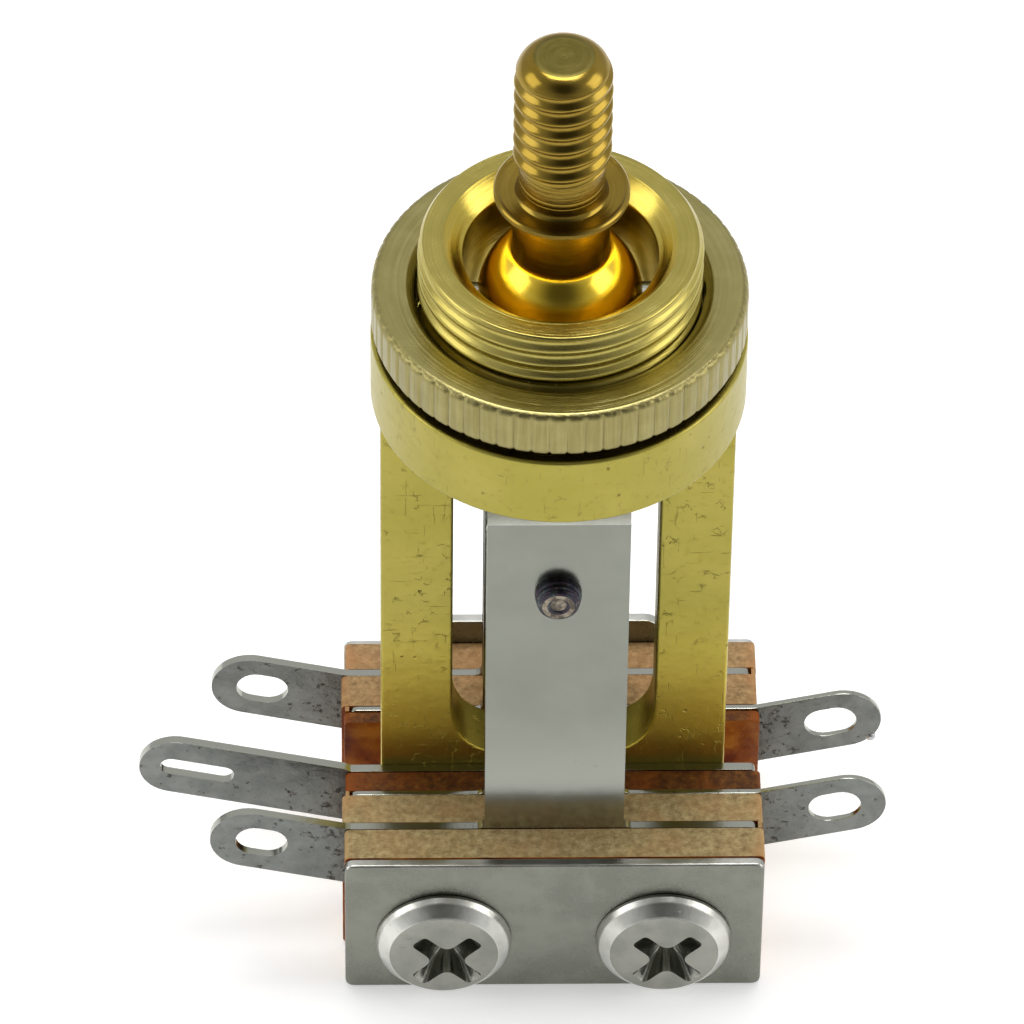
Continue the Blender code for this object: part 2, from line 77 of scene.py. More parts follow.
view = {"azimuth": -1.391, "elevation": 46.475, "roll": -0.739, "distance": 0.389525, "lens": 321.04,
        "target": (-0.001879, 0, -0.011148)}


def setCamera():
    turn, rise, roll = (math.radians(view[k]) for k in ("azimuth", "elevation", "roll"))
    back = Vector((math.sin(turn) * math.cos(rise), -math.cos(turn) * math.cos(rise), math.sin(rise)))
    right = Vector((math.cos(turn), math.sin(turn), 0))
    up = back.cross(right)
    across = right * math.cos(roll) - up * math.sin(roll)
    upright = right * math.sin(roll) + up * math.cos(roll)
    aim = Matrix((across, upright, back)).transposed().to_euler()
    deselectAll()
    bpy.ops.object.camera_add(location=Vector(view["target"]) + back * view["distance"], rotation=aim)
    camera = bpy.context.object
    camera.data.lens = view["lens"]
    camera.data.sensor_width = 36
    camera.data.clip_start = 0.01
    camera.data.clip_end = 20
    bpy.context.scene.camera = camera


# each light: place, size, power in watts, tint
lights = {
    "leftBox": ((-0.42, -0.03, 0.20), (0.26, 0.30), 0.50, (1.0, 1.0, 0.98)),
    "rightBox": ((0.42, -0.05, 0.21), (0.26, 0.30), 0.58, (1.0, 0.99, 0.96)),
    "topBox": ((0.0, 0.12, 0.54), (0.36, 0.20), 1.45, (1.0, 1.0, 1.0)),
}
# the room is dim around one direction, in front and above, and bright everywhere else; its stops run from
# the far side, 0, to that direction, 1
room = {"dimSide": (0, -0.69, 0.72), "aim": (0, 0, -0.012),
        "tones": ((0.0, 0.66), (0.60, 0.76), (0.80, 0.60), (0.90, 0.42), (0.95, 0.20), (0.985, 0.06)),
        "floorColour": (0.84, 0.84, 0.84), "floorGlow": 0.36}


def setLights():
    for name, (spot, size, power, tint) in lights.items():
        deselectAll()
        toObject = Vector(room["aim"]) - Vector(spot)
        facing = toObject.to_track_quat("-Z", "Y").to_euler()
        bpy.ops.object.light_add(type="AREA", location=spot, rotation=facing)
        lamp = bpy.context.object
        lamp.name = name
        lamp.data.shape = "RECTANGLE"
        lamp.data.size, lamp.data.size_y = size
        lamp.data.energy = power
        lamp.data.color = tint
    world = bpy.data.worlds.new("studio")
    bpy.context.scene.world = world
    world.use_nodes = True
    tree = world.node_tree
    towards = tree.nodes.new("ShaderNodeVectorMath")
    towards.operation = "DOT_PRODUCT"
    towards.inputs[1].default_value = room["dimSide"]
    share = tree.nodes.new("ShaderNodeMapRange")
    share.inputs["From Min"].default_value = -1
    ramp = tree.nodes.new("ShaderNodeValToRGB")
    while len(ramp.color_ramp.elements) < len(room["tones"]):
        ramp.color_ramp.elements.new(0.5)
    for element, (at, tone) in zip(ramp.color_ramp.elements, room["tones"]):
        element.position = at
        element.color = (tone, tone, tone, 1)
    tree.links.new(tree.nodes.new("ShaderNodeTexCoord").outputs["Generated"], towards.inputs[0])
    tree.links.new(towards.outputs["Value"], share.inputs["Value"])
    tree.links.new(share.outputs[0], ramp.inputs[0])
    tree.links.new(ramp.outputs[0], tree.nodes["Background"].inputs["Color"])
    bpy.context.scene.view_settings.view_transform = "Standard"


# shader sums and nodes

class Value:  # a shader socket that takes sums like a number
    def __init__(self, finish, socket):
        self.finish = finish
        self.socket = socket

    def sum(self, operation, first, second):
        return self.finish.node("Math", {"operation": operation}, {0: first, 1: second})

    def __add__(self, other):
        return self.sum("ADD", self, other)

    def __sub__(self, other):
        return self.sum("SUBTRACT", self, other)

    def __rsub__(self, other):
        return self.sum("SUBTRACT", other, self)

    def __mul__(self, other):
        return self.sum("MULTIPLY", self, other)

    def __truediv__(self, other):
        return self.sum("DIVIDE", self, other)

    def __rtruediv__(self, other):
        return self.sum("DIVIDE", other, self)

    def __pow__(self, other):
        return self.sum("POWER", self, other)

    __radd__ = __add__
    __rmul__ = __mul__


class Finish:  # one material and the nodes that make it
    def __init__(self, name, **fixed):
        self.material = bpy.data.materials.new(name)
        self.material.use_nodes = True
        self.tree = self.material.node_tree
        self.shader = self.tree.nodes["Principled BSDF"]
        for socket, value in fixed.items():
            self.shader.inputs[socket.replace("_", " ")].default_value = value
        grid = self.node("TexCoord", out="Object")
        self.place = self.node("Mapping", {}, {"Vector": grid, "Scale": (1000, 1000, 1000)})  # millimetres

    def node(self, kind, settings=None, inputs=None, out=0):
        made = self.tree.nodes.new("ShaderNode" + kind)
        for key, value in (settings or {}).items():
            if key == "stops":
                ramp = made.color_ramp
                while len(ramp.elements) < len(value):
                    ramp.elements.new(0.5)
                for element, (at, colour) in zip(ramp.elements, value):
                    element.position = at
                    element.color = (*colour, 1) if isinstance(colour, tuple) else (colour, colour, colour, 1)
            else:
                setattr(made, key, value)
        for key, value in (inputs or {}).items():
            if isinstance(value, Value):
                self.tree.links.new(value.socket, made.inputs[key])
            elif isinstance(value, tuple) and made.inputs[key].type == "RGBA":
                made.inputs[key].default_value = (*value, 1)
            else:
                made.inputs[key].default_value = value
        return Value(self, made.outputs[out])

    def give(self, socket, value):
        self.tree.links.new(value.socket, self.shader.inputs[socket])

    def stretch(self, scale, turn=(0, 0, 0)):
        return self.node("Mapping", {}, {"Vector": self.place, "Scale": scale, "Rotation": turn})

    def noise(self, scale, detail=3.0, rough=0.5, vector=None):
        return self.node("TexNoise", {}, {"Vector": vector or self.place, "Scale": scale, "Detail": detail,
                                          "Roughness": rough})

    def ramp(self, value, *stops):
        return self.node("ValToRGB", {"stops": stops}, {"Fac": value})

    def between(self, value, low, high):  # 0 below low, 1 above high
        return self.node("MapRange", {"interpolation_type": "SMOOTHSTEP"},
                         {"Value": value, "From Min": low, "From Max": high})

    def mix(self, share, first, second):
        made = self.tree.nodes.new("ShaderNodeMix")
        made.data_type = "RGBA"
        for index, value in ((0, share), (6, first), (7, second)):
            if isinstance(value, Value):
                self.tree.links.new(value.socket, made.inputs[index])
            else:
                made.inputs[index].default_value = (*value, 1) if isinstance(value, tuple) else value
        return Value(self, made.outputs[2])

    def split(self):
        made = self.node("SeparateXYZ", {}, {"Vector": self.place}).socket.node
        return [Value(self, socket) for socket in made.outputs]

    def rings(self, perMillimetre, around=0.6):  # streaks that run round the Z axis
        x, y, z = self.split()
        radius = (x * x + y * y) ** 0.5
        across, along = x / (radius + 0.01) * around, y / (radius + 0.01) * around
        out = (radius * 0.83 + z) * perMillimetre
        return self.node("CombineXYZ", {}, {"X": out, "Y": across, "Z": along})

    def bump(self, height, distance, strength=1.0):  # distance in millimetres
        return self.node("Bump", {}, {"Height": height, "Distance": distance * shrink, "Strength": strength})


def forgedBrass():
    made = Finish("forgedBrass", Metallic=1.0)
    broad = made.noise(0.22, 4, 0.6)
    fine = made.noise(2.6, 5, 0.65)
    colour = made.mix(made.between(broad, 0.35, 0.65), (0.345, 0.298, 0.058), (0.385, 0.330, 0.074))
    legs = made.between(made.split()[2], -15.0, -24.0)  # painted light: lighter low down, where the legs stand in shade
    colour = made.mix(legs * 0.85, colour, (0.74, 0.58, 0.10))
    pitMap = made.node("TexVoronoi", {"feature": "F1"}, {"Vector": made.place, "Scale": 1.25})
    pits = made.between(pitMap, 0.13, 0.05) * made.between(made.noise(0.5, 2), 0.5, 0.58)
    wander = made.node("TexNoise", {}, {"Vector": made.place, "Scale": 1.6, "Detail": 3.0}, out="Color")
    flow = made.node("TexVoronoi", {"feature": "DISTANCE_TO_EDGE"},
                     {"Vector": made.node("VectorMath", {"operation": "ADD"}, {0: made.place, 1: wander}),
                      "Scale": 1.9})
    lines = made.between(flow, 0.05, 0.0) * made.between(made.noise(1.3, 3), 0.60, 0.66)
    upright = made.stretch((6.0, 6.0, 0.45), (0.3, 0.5, 0.2))
    level = made.stretch((0.4, 5.0, 7.0), (0.2, -0.4, 0))
    upright = made.between(made.noise(1.2, 3, 0.6, upright), 0.66, 0.71)
    level = made.between(made.noise(1.2, 3, 0.6, level), 0.67, 0.72)
    dark = made.between(fine, 0.56, 0.70) * 0.22 + pits * 0.55 + lines * 0.30 + upright * 0.25 + level * 0.2
    made.give("Base Color", made.mix(dark, colour, (0.16, 0.12, 0.02)))
    made.give("Roughness", 0.27 + fine * 0.16 + pits * 0.2)
    relief = broad * 1.3 + fine * 0.30 - pits * 0.9 - lines * 0.35 - upright * 0.3 + level * 0.2
    made.give("Normal", made.bump(relief, 0.05, 0.8))
    return made.material


def turnedBrass(name, colour, shade, grain, roughness, ringDepth):
    made = Finish(name, Metallic=1.0)
    rings = made.noise(1.0, 4, 0.62, made.rings(grain))
    bands = made.noise(1.0, 2, 0.5, made.rings(grain * 0.22, 1.0))
    smudge = made.noise(0.8, 4, 0.6)
    tone = made.between(rings, 0.30, 0.72) * 0.6 + made.between(smudge, 0.4, 0.7) * 0.4
    made.give("Base Color", made.mix(tone, colour, shade))
    made.give("Roughness", roughness + rings * 0.10 + smudge * 0.08)
    made.give("Normal", made.bump(rings + bands * 0.8, ringDepth))
    return made.material


def nickelSilver():
    made = Finish("nickelSilver", Metallic=1.0)
    grain = made.noise(7.0, 4, 0.6, made.stretch((1.0, 1.0, 0.25)))
    cloud = made.noise(0.35, 4, 0.6)
    specks = made.between(made.noise(3.2, 2, 0.4), 0.74, 0.79)
    colour = made.mix(made.between(cloud, 0.3, 0.7), (0.23, 0.238, 0.204), (0.255, 0.264, 0.227))
    root = made.between(made.split()[2], -17.0, -25.0)  # painted light: lighter low down, as it stands in shade
    colour = made.mix(root * 0.75, colour, (0.42, 0.43, 0.38))
    made.give("Base Color", made.mix(specks * 0.5, colour, (0.16, 0.15, 0.12)))
    made.give("Roughness", 0.13 + cloud * 0.10 + grain * 0.05)
    made.give("Normal", made.bump(grain * 0.35 + cloud * 1.2, 0.012))
    return made.material


def tinnedLug():
    made = Finish("tinnedLug", Metallic=1.0)
    x = made.split()[0]
    root = made.between((x * x) ** 0.5, 12.4, 9.1)  # darker and more stained beside the stack
    stain = made.between(made.noise(2.3, 5, 0.72) + root * 0.05, 0.60, 0.70)
    cloud = made.noise(0.8, 4, 0.6)
    fine = made.noise(6.0, 4, 0.65)
    colour = made.mix(made.between(cloud, 0.3, 0.7), (0.15, 0.157, 0.147), (0.22, 0.228, 0.214))
    colour = made.mix(root * 0.25, colour, (0.095, 0.098, 0.088))
    made.give("Base Color", made.mix(stain * 0.75, colour, (0.055, 0.047, 0.042)))
    made.give("Roughness", 0.24 + cloud * 0.16 + stain * 0.3)
    made.give("Normal", made.bump(cloud * 2.0 + fine * 0.35 + stain * 0.5, 0.035))
    return made.material


def phenolicEdge(name, tones, warmth):
    made = Finish(name, Metallic=0.0, Specular_IOR_Level=0.25)
    mottle = made.noise(2.6, 6, 0.72)
    blotch = made.noise(0.55, 3, 0.5)
    fibre = made.noise(5.0, 4, 0.7, made.stretch((1.0, 2.4, 1.0)))
    colour = made.ramp(mottle * 0.75 + fibre * 0.25, *zip((0.32, 0.46, 0.58, 0.72), tones))
    x = made.split()[0]
    ends = made.between((x * x) ** 0.5 + blotch * 1.5, 9.2, 10.1)  # the cut ends show more of the resin
    colour = made.mix(ends * 0.6, colour, warmth)
    made.give("Base Color", made.mix(made.between(blotch, 0.4, 0.7) * 0.35, colour, warmth))
    made.give("Roughness", 0.52 + mottle * 0.2)
    made.give("Normal", made.bump(mottle + fibre * 0.7, 0.05))
    return made.material


def phenolicFace():
    made = Finish("phenolicFace", Metallic=0.0, Specular_IOR_Level=0.3)
    cloud = made.noise(0.7, 4, 0.55)
    fine = made.noise(4.0, 4, 0.6)
    made.give("Base Color", made.ramp(cloud, (0.34, (0.17, 0.022, 0.002)), (0.52, (0.36, 0.09, 0.006)),
                                      (0.68, (0.52, 0.18, 0.02))))
    made.give("Roughness", 0.22 + fine * 0.16)
    made.give("Normal", made.bump(cloud * 1.4 + fine * 0.3, 0.03))
    return made.material


def plate(name, colour, shade, roughness, metallic):
    made = Finish(name, Metallic=metallic)
    cloud = made.noise(0.5, 4, 0.6)
    fine = made.noise(5.0, 5, 0.65)
    scratch = made.between(made.noise(1.0, 3, 0.6, made.stretch((0.5, 4.0, 7.0), (0, 0.5, 0))), 0.70, 0.74)
    tone = made.mix(made.between(cloud, 0.3, 0.7), colour, shade)
    wear = scratch * 0.3 + made.between(fine, 0.62, 0.74) * 0.25
    made.give("Base Color", made.mix(wear, tone, (0.17, 0.16, 0.13)))
    made.give("Roughness", roughness + cloud * 0.10 + fine * 0.06)
    made.give("Normal", made.bump(cloud * 1.6 + fine * 0.3 - scratch * 0.3, 0.02))
    return made.material


def tarnishedRivet():
    made = Finish("tarnishedRivet", Metallic=1.0)
    cloud = made.noise(2.2, 4, 0.6)
    fine = made.noise(6.0, 4, 0.65)
    colour = made.ramp(cloud, (0.32, (0.022, 0.028, 0.042)), (0.46, (0.05, 0.038, 0.05)),
                       (0.58, (0.045, 0.065, 0.070)), (0.72, (0.17, 0.13, 0.095)))
    made.give("Base Color", made.mix(made.between(fine, 0.55, 0.7) * 0.4, colour, (0.26, 0.22, 0.17)))
    made.give("Roughness", 0.22 + fine * 0.18)
    made.give("Normal", made.bump(cloud + fine * 0.6, 0.03))
    return made.material


def knurledBrass():  # the nut's rim, with the knurling tool's streaks along it
    made = Finish("knurledBrass", Metallic=1.0)
    streaks = made.noise(1.0, 4, 0.65, made.stretch((5.0, 5.0, 0.22)))
    smudge = made.noise(0.9, 4, 0.6)
    tone = made.between(streaks, 0.35, 0.68) * 0.6 + made.between(smudge, 0.4, 0.7) * 0.4
    made.give("Base Color", made.mix(tone, (0.25, 0.215, 0.080), (0.34, 0.30, 0.125)))
    made.give("Roughness", 0.26 + smudge * 0.12)
    made.give("Normal", made.bump(streaks, 0.035))
    return made.material


def rivetEnd():
    made = Finish("rivetEnd", Metallic=1.0)
    cloud = made.noise(2.6, 4, 0.65)
    tone = made.between(cloud, 0.38, 0.62)
    made.give("Base Color", made.mix(tone, (0.09, 0.075, 0.06), (0.30, 0.26, 0.20)))
    made.give("Roughness", 0.24 + cloud * 0.2)
    made.give("Normal", made.bump(cloud, 0.05))
    return made.material


def mouldedNylon():
    made = Finish("mouldedNylon", Metallic=0.0)
    fine = made.noise(9.0, 4, 0.6)
    cloud = made.noise(0.9, 3, 0.5)
    made.give("Base Color", made.mix(cloud, (0.018, 0.017, 0.016), (0.035, 0.033, 0.03)))
    made.give("Roughness", 0.38 + fine * 0.2)
    made.give("Normal", made.bump(fine + cloud, 0.015))
    return made.material


def brightSolder():
    made = Finish("brightSolder", Metallic=1.0)
    cloud = made.noise(2.0, 4, 0.6)
    made.give("Base Color", made.mix(made.between(cloud, 0.35, 0.65), (0.42, 0.43, 0.42), (0.60, 0.61, 0.60)))
    made.give("Roughness", 0.16 + cloud * 0.2)
    made.give("Normal", made.bump(cloud, 0.03))
    return made.material


def paleFloor():
    made = Finish("paleFloor", Metallic=0.0, Roughness=0.7)
    made.shader.inputs["Base Color"].default_value = (*room["floorColour"], 1)
    made.shader.inputs["Emission Color"].default_value = (1, 1, 1, 1)
    made.shader.inputs["Emission Strength"].default_value = room["floorGlow"]
    return made.material


# turned brass: colour, its lighter tone, rings per millimetre, roughness, depth of the rings
turned = {
    "threadBrass": ((0.38, 0.315, 0.075), (0.47, 0.40, 0.115), 9.0, 0.16, 0.024),
    "boreBrass": ((0.50, 0.39, 0.065), (0.58, 0.46, 0.11), 9.0, 0.10, 0.010),
    "nutBrass": ((0.32, 0.28, 0.10), (0.41, 0.365, 0.15), 8.0, 0.13, 0.020),
    "leverBrass": ((0.25, 0.165, 0.024), (0.31, 0.215, 0.042), 10.0, 0.11, 0.012),
    # painted shade: a darker, duller copy of the lever's brass for the crown's flat top
    "crownPaintedShadeBrass": ((0.13, 0.105, 0.022), (0.20, 0.165, 0.045), 10.0, 0.30, 0.010),
    # painted light: a much lighter copy of the lever's brass for the ball, which sits in the bore's shade
    "ballPaintedLightBrass": ((0.84, 0.58, 0.055), (0.90, 0.66, 0.08), 8.0, 0.12, 0.008),
}
# plate: colour, its lighter tone, roughness, how metallic
plated = {
    "nickelPlate": ((0.195, 0.20, 0.168), (0.245, 0.25, 0.212), 0.20, 1.0),
    "screwPlate": ((0.235, 0.24, 0.21), (0.32, 0.32, 0.285), 0.15, 1.0),
    # painted highlight: a much lighter copy of the plating for the clamp plates' top faces and the screw
    # heads' rims
    "paintedHighlightPlate": ((0.50, 0.50, 0.46), (0.70, 0.70, 0.66), 0.22, 1.0),
    # painted highlight: a pale, barely metallic copy of the leaves' nickel silver for the top of each arm and
    # the hook's bend
    "paintedHighlightBend": ((0.50, 0.51, 0.45), (0.64, 0.65, 0.58), 0.45, 0.15),
}
# phenolic's sawn edge: four tones from dark to light, then the resin's own
sawn = {
    "phenolicEdge": (((0.18, 0.12, 0.050), (0.35, 0.255, 0.11), (0.51, 0.39, 0.19), (0.66, 0.55, 0.30)),
                     (0.52, 0.28, 0.11)),
    "phenolicPink": (((0.16, 0.092, 0.038), (0.31, 0.19, 0.080), (0.45, 0.285, 0.13), (0.60, 0.42, 0.21)),
                     (0.48, 0.23, 0.09)),
    # painted shade: a much darker copy of the sawn edge for the two inner blocks, which sit in shade under the
    # collar beside the frame
    "phenolicPaintedShade": (((0.035, 0.010, 0.0015), (0.09, 0.028, 0.003), (0.18, 0.065, 0.008), (0.38, 0.17, 0.03)),
                     (0.32, 0.07, 0.004)),
}

setCamera()
setLights()
finishes = {"forgedBrass": forgedBrass(), "knurledBrass": knurledBrass(), "nickelSilver": nickelSilver(),
            "tinnedLug": tinnedLug(), "brightSolder": brightSolder(), "phenolicFace": phenolicFace(),
            "tarnishedRivet": tarnishedRivet(), "rivetEnd": rivetEnd(), "mouldedNylon": mouldedNylon()}
finishes.update({name: turnedBrass(name, *facts) for name, facts in turned.items()})
finishes.update({name: plate(name, *facts) for name, facts in plated.items()})
finishes.update({name: phenolicEdge(name, *facts) for name, facts in sawn.items()})
print("stage: camera, lights and materials")


# ways of making that every piece shares

def soften(points, steps=4, closed=False):  # a corner with a third number is rounded by about that radius
    line = []
    count = len(points)
    for index, point in enumerate(points):
        here = Vector(point[:2])
        inside = closed or 0 < index < count - 1
        if len(point) < 3 or not inside:
            line.append((here.x, here.y))
            continue
        before = Vector(points[index - 1][:2]) - here
        after = Vector(points[(index + 1) % count][:2]) - here
        reach = point[2] / math.tan(before.angle(after) / 2)
        start = here + before.normalized() * min(reach, before.length * 0.49)
        end = here + after.normalized() * min(reach, after.length * 0.49)
        for step in range(steps + 1):
            t = step / steps
            spot = start * (1 - t) ** 2 + here * 2 * t * (1 - t) + end * t ** 2
            line.append((spot.x, spot.y))
    return line


def drawLine(name, points):  # one corner, extruded from point to point
    deselectAll()
    bpy.ops.mesh.primitive_plane_add(size=0.1, location=points[0])
    made = bpy.context.object
    made.name = name
    bpy.ops.object.transform_apply(location=True, rotation=True, scale=True)
    bpy.ops.object.mode_set(mode="EDIT")
    bpy.ops.mesh.select_mode(type="VERT")
    bpy.ops.mesh.select_all(action="SELECT")
    bpy.ops.mesh.merge(type="CENTER")
    for start, end in zip(points, points[1:]):
        bpy.ops.mesh.extrude_region_move(TRANSFORM_OT_translate={"value": Vector(end) - Vector(start)})
    return made


def tidyMesh():
    bpy.ops.mesh.select_all(action="SELECT")
    bpy.ops.mesh.remove_doubles(threshold=0.0005)
    bpy.ops.mesh.dissolve_degenerate(threshold=0.0005)
    bpy.ops.mesh.select_all(action="SELECT")
    bpy.ops.mesh.normals_make_consistent(inside=False)
    bpy.ops.object.mode_set(mode="OBJECT")


def lathe(name, profile, steps=96):  # turns a line of (radius, height) points about the Z axis
    made = drawLine(name, [(radius, 0, height) for radius, height in profile])
    bpy.ops.mesh.select_all(action="SELECT")
    bpy.ops.mesh.spin(steps=steps, angle=2 * math.pi, center=(0, 0, 0), axis=(0, 0, 1))
    tidyMesh()
    return made


def sheetBlank(name, outline, front, back):  # an (x, z) outline cut from sheet that lies across Y
    made = drawLine(name, [(x, front, z) for x, z in outline])
    bpy.ops.mesh.select_all(action="SELECT")
    bpy.ops.mesh.edge_face_add()
    bpy.ops.mesh.extrude_region_move(TRANSFORM_OT_translate={"value": (0, back - front, 0)})
    tidyMesh()
    return made


def pick(made, kind, test):  # selects the corners, edges or faces that pass a test of place or normal
    bpy.ops.mesh.select_mode(type=kind)
    bpy.ops.mesh.select_all(action="DESELECT")
    shell = bmesh.from_edit_mesh(made.data)
    for item in {"VERT": shell.verts, "EDGE": shell.edges, "FACE": shell.faces}[kind]:
        if test(item):
            item.select_set(True)
    shell.select_flush_mode()
    bmesh.update_edit_mesh(made.data)


def carve(made, tool, operation="DIFFERENCE"):  # a solid cut from, joined to or kept inside another
    takeUp(made)
    bpy.ops.object.modifier_add(type="BOOLEAN")
    step = made.modifiers[-1]
    step.operation = operation
    step.solver = "EXACT"
    step.object = tool
    bpy.ops.object.modifier_apply(modifier=step.name)
    bpy.data.objects.remove(tool)


def breakEdges(made, width, segments=2, angle=35):  # takes the sharpness off every edge
    takeUp(made)
    bpy.ops.object.modifier_add(type="BEVEL")
    step = made.modifiers[-1]
    step.width = width
    step.segments = segments
    step.limit_method = "ANGLE"
    step.angle_limit = math.radians(angle)
    step.miter_outer = "MITER_ARC"
    step.use_clamp_overlap = True
    bpy.ops.object.modifier_apply(modifier=step.name)


def turnTo(made, turn=(0, 0, 0), move=(0, 0, 0)):  # swings a piece about the axes and moves it, in its mesh
    takeUp(made)
    made.rotation_euler = turn
    made.location = move
    bpy.ops.object.transform_apply(location=True, rotation=True, scale=True)


def evenShading(made, angle=35):
    takeUp(made)
    bpy.ops.object.shade_smooth_by_angle(angle=math.radians(angle))
    bpy.ops.object.modifier_add(type="WEIGHTED_NORMAL")
    made.modifiers[-1].keep_sharp = True
    bpy.ops.object.modifier_apply(modifier=made.modifiers[-1].name)


# one finish all over, or choose(centre, normal) gives each face's number
def paint(made, names, choose=None):
    made.data.materials.clear()
    for name in names:
        made.data.materials.append(finishes[name])
    for face in made.data.polygons:
        face.material_index = int(choose(face.center, face.normal)) if choose else 0


def toMetres(made):
    takeUp(made)
    made.scale = (shrink, shrink, shrink)
    bpy.ops.object.transform_apply(location=True, rotation=True, scale=True)


def standFor(made, body, slot, *replaced):
    toMetres(made)
    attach(made, body)
    if replaced:
        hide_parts(*replaced)


# one pitch of the thread's profile, as shares of the pitch and of the depth, is wound up a rod
def threadedRod(name, crest, depth, pitch, low, high, steps):
    profile = [(0, 0), (0.05, 0), (0.16, 0.20), (0.30, 0.72), (0.39, 0.95), (0.47, 1.0), (0.55, 0.95),
               (0.64, 0.72), (0.78, 0.20), (0.89, 0), (1.0, 0)]
    start = low - 1.5 * pitch
    made = drawLine(name, [(crest - depth + depth * out, 0, start + pitch * up) for up, out in profile])
    bpy.ops.object.mode_set(mode="OBJECT")
    takeUp(made)
    bpy.ops.object.modifier_add(type="SCREW")
    step = made.modifiers[-1]
    step.axis = "Z"
    step.angle = 2 * math.pi
    step.screw_offset = pitch
    step.iterations = math.ceil((high - low) / pitch) + 3
    step.steps = step.render_steps = steps
    bpy.ops.object.modifier_apply(modifier=step.name)
    bpy.ops.object.mode_set(mode="EDIT")
    bpy.ops.mesh.select_all(action="SELECT")
    bpy.ops.mesh.remove_doubles(threshold=0.0005)
    for level, side in ((low, -1), (high, 1)):  # the ends are cut square
        bpy.ops.mesh.select_all(action="SELECT")
        bpy.ops.mesh.bisect(plane_co=(0, 0, level), plane_no=(0, 0, 1), use_fill=True, clear_inner=side < 0,
                            clear_outer=side > 0, threshold=0.0001)
    tidyMesh()
    return made


def crossRods(name, spots, radius, reach=12, steps=32):  # rods along Y, for the screw holes
    rods = []
    for x, z in spots:
        deselectAll()
        bpy.ops.mesh.primitive_cylinder_add(vertices=steps, radius=radius, depth=2 * reach,
                                            location=(x, 0, z), rotation=(math.pi / 2, 0, 0))
        bpy.ops.object.transform_apply(location=True, rotation=True, scale=True)
        rods.append(bpy.context.object)
    takeUp(rods[0])
    for rod in rods:
        rod.select_set(True)
    if len(rods) > 1:
        bpy.ops.object.join()
    bpy.context.object.name = name
    return bpy.context.object


# the frame: one forging with its bushing

forging = {"collarEdge": 0.16, "plateEdge": 0.14, "cornerRound": 3.0, "windowHalf": 4.4, "sill": -25.25,
           "threadDepth": 0.20, "pitch": 0.794, "boreRadius": 4.05, "mouthRadius": 4.78, "mouthDepth": 0.75,
           "bushingRadius": 5.95, "collarDepth": 3.55, "plateHalf": 7.5, "plateHalfThick": 1.25,
           "footCorner": 0.45}
stackTop = boxOf("front_outer_insulator")[1].z
stackBottom = boxOf("front_outer_insulator")[0].z
stackHalf = boxOf("front_outer_insulator")[1].x
screwSpots = [((low.x + high.x) / 2, (low.z + high.z) / 2)
              for low, high in (boxOf("left_stack_screw"), boxOf("right_stack_screw"))]
clearance = 0.08
sleeveRadius = (boxOf("left_screw_sleeve")[1].x - boxOf("left_screw_sleeve")[0].x) / 2
layerHole = sleeveRadius + clearance
pinLow, pinHigh = boxOf("pivot_pin")
pinHeight = (pinLow.z + pinHigh.z) / 2
pinRadius = (pinHigh.z - pinLow.z) / 2


def carvePinHole(made, length):
    deselectAll()
    bpy.ops.mesh.primitive_cylinder_add(vertices=32, radius=pinRadius + clearance, depth=length,
                                        location=(0, 0, pinHeight), rotation=(0, math.pi / 2, 0))
    bpy.ops.object.transform_apply(location=True, rotation=True, scale=True)
    carve(made, bpy.context.object)


